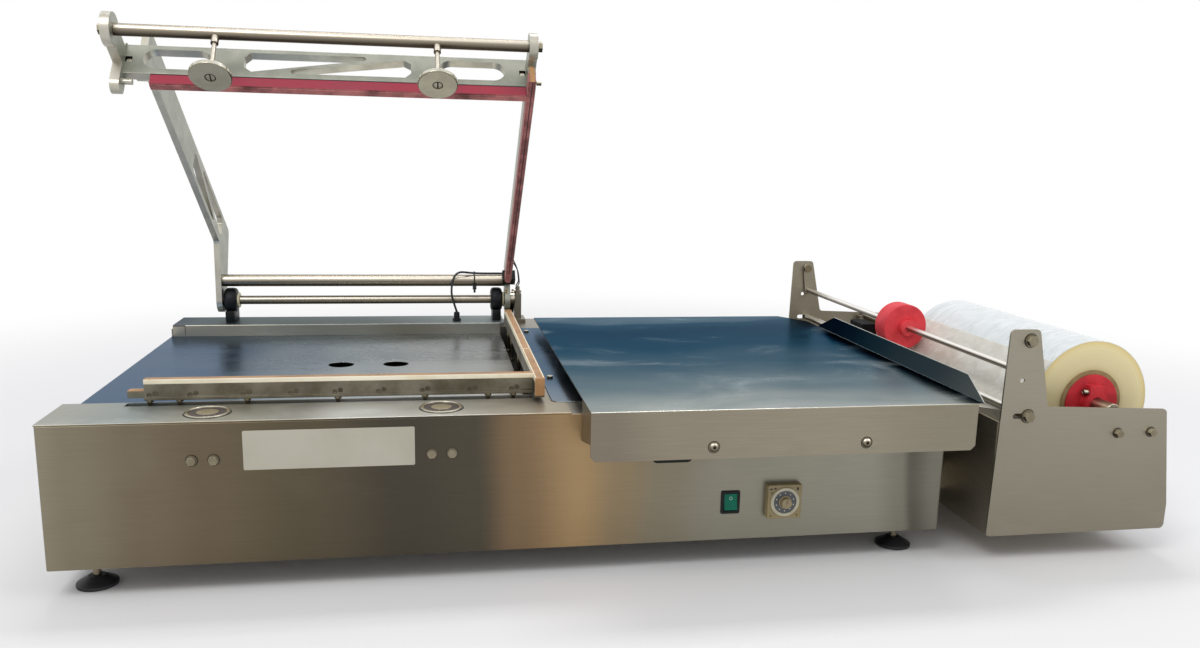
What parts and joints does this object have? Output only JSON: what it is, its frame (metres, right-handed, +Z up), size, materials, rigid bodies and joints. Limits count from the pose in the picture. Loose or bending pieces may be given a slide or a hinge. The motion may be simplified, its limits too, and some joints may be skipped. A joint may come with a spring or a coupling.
{
  "type": "l bar sealer",
  "caption": "Bench L bar heat sealer: stainless cabinet, hinged L-shaped seal head on a rear shaft, product tray and film cradle with a roll.",
  "frame": {"origin": "centre of the footprint's bounding box, on the floor under the feet", "axes": "+X to the operator's right, from the sealing well to the film cradle; +Y from the operator's side to the rear hinge; +Z up"},
  "size_m": [1.494, 0.85, 0.717],
  "materials": {
    "stainless_cabinet": "brushed",
    "stainless_strip": "brushed",
    "stainless_plate": "satin",
    "stainless_cradle": "satin",
    "polished_steel": "polished",
    "zinc_fasteners": "plated",
    "rubber_foot": "matte",
    "magnet_steel": "nickel plated",
    "coil_resin": "matte",
    "plate_print": "satin",
    "black_plastic": "matte",
    "green_plastic": "gloss",
    "beige_plastic": "matte",
    "red_plastic": "gloss",
    "bar_aluminium": "satin",
    "sealing_tape": "woven, non-stick",
    "cast_head": "satin silver",
    "bush_nylon": "matte",
    "cable_black": "matte",
    "seal_red": "satin",
    "seal_pink": "satin",
    "seal_copper": "tarnished",
    "tray_steel": "scuffed",
    "film": "gloss",
    "card": "matte"
  },
  "bodies": {
    "base": {"cabinet": "stainless_cabinet", "front_strip": "stainless_strip", "recess_plate": "stainless_plate", "bar_channel": "stainless_plate", "rear_rail": "stainless_cabinet", "transfer_plate": "stainless_plate", "foot_pads": "rubber_foot", "foot_studs": "zinc_fasteners", "magnet_pots": "magnet_steel", "magnet_coils": "coil_resin", "cabinet_bolts": "zinc_fasteners", "name_plate": "plate_print", "rocker_housing": "black_plastic", "timer_body": "beige_plastic", "isolator_base": "black_plastic", "front_seal_bar": "bar_aluminium", "side_seal_bar": "bar_aluminium", "seal_pads": "sealing_tape", "bar_studs": "zinc_fasteners", "pedestals": "black_plastic", "bushes": "bush_nylon", "stop_post": "zinc_fasteners", "cable_gland": "black_plastic", "head_cable": "cable_black", "tray_rails": "stainless_plate", "cradle_plates": "stainless_cradle", "cradle_pan": "stainless_cradle", "cradle_bolts": "zinc_fasteners", "perforator_block": "black_plastic", "shaft_brackets": "zinc_fasteners", "film_web": "film"},
    "head": {"hinge_shaft": "polished_steel", "stop_collar": "zinc_fasteners", "head_beam": "cast_head", "left_arm": "cast_head", "right_arm": "cast_head", "cross_tube": "polished_steel", "handle_tube": "polished_steel", "end_brackets": "cast_head", "disc_rods": "polished_steel", "pull_discs": "magnet_steel", "head_fasteners": "zinc_fasteners", "upper_front_bar": "seal_red", "upper_side_bar": "seal_pink", "seal_bands": "seal_copper", "terminal_block": "black_plastic"},
    "rocker": {"rocker": "green_plastic"},
    "timer_knob": {"timer_knob": "beige_plastic"},
    "isolator_grip": {"isolator_grip": "red_plastic"},
    "tray": {"tray": "tray_steel", "tray_runners": "bar_aluminium"},
    "dancer": {"dancer_links": "stainless_cradle", "dancer_rod": "polished_steel", "collar": "red_plastic"},
    "guide_roller": {"guide_rod": "polished_steel"},
    "film_reel": {"film_roll": "film", "core": "card", "roll_hubs": "red_plastic", "roll_shaft": "polished_steel"}
  },
  "joints": [
    {"name": "head_hinge", "type": "hinge", "parent": "base", "child": "head", "pos_m": [-0.412, 0.3265, 0.268], "axis": [1, 0, 0], "range_deg": [0, 38.8], "stiffness_Nm_per_rad": 9, "springref_deg": -80.21, "deforming": ["head_cable"]},
    {"name": "rocker_switch", "type": "hinge", "parent": "base", "child": "rocker", "pos_m": [0.1085, -0.347, 0.095], "axis": [1, 0, 0], "range_deg": [0, 18]},
    {"name": "timer_setting", "type": "hinge", "parent": "base", "child": "timer_knob", "pos_m": [0.1815, -0.362, 0.0964], "axis": [0, 1, 0], "range_deg": [0, 270]},
    {"name": "isolator_turn", "type": "hinge", "parent": "base", "child": "isolator_grip", "pos_m": [0.025, -0.358, 0.1816], "axis": [0, 1, 0], "range_deg": [-45, 45]},
    {"name": "tray_slide", "type": "slide", "parent": "base", "child": "tray", "axis": [0, -1, 0], "range_m": [0, 0.06]},
    {"name": "dancer_swing", "type": "hinge", "parent": "base", "child": "dancer", "pos_m": [0.506, 0.015, 0.319], "axis": [0, 1, 0], "range_deg": [-10, 30]},
    {"name": "guide_roller_spin", "type": "hinge", "parent": "base", "child": "guide_roller", "pos_m": [0.513, 0.015, 0.214], "axis": [0, 1, 0], "continuous": true},
    {"name": "film_reel_spin", "type": "hinge", "parent": "base", "child": "film_reel", "pos_m": [0.646, 0.015, 0.217], "axis": [0, 1, 0], "continuous": true}
  ]
}
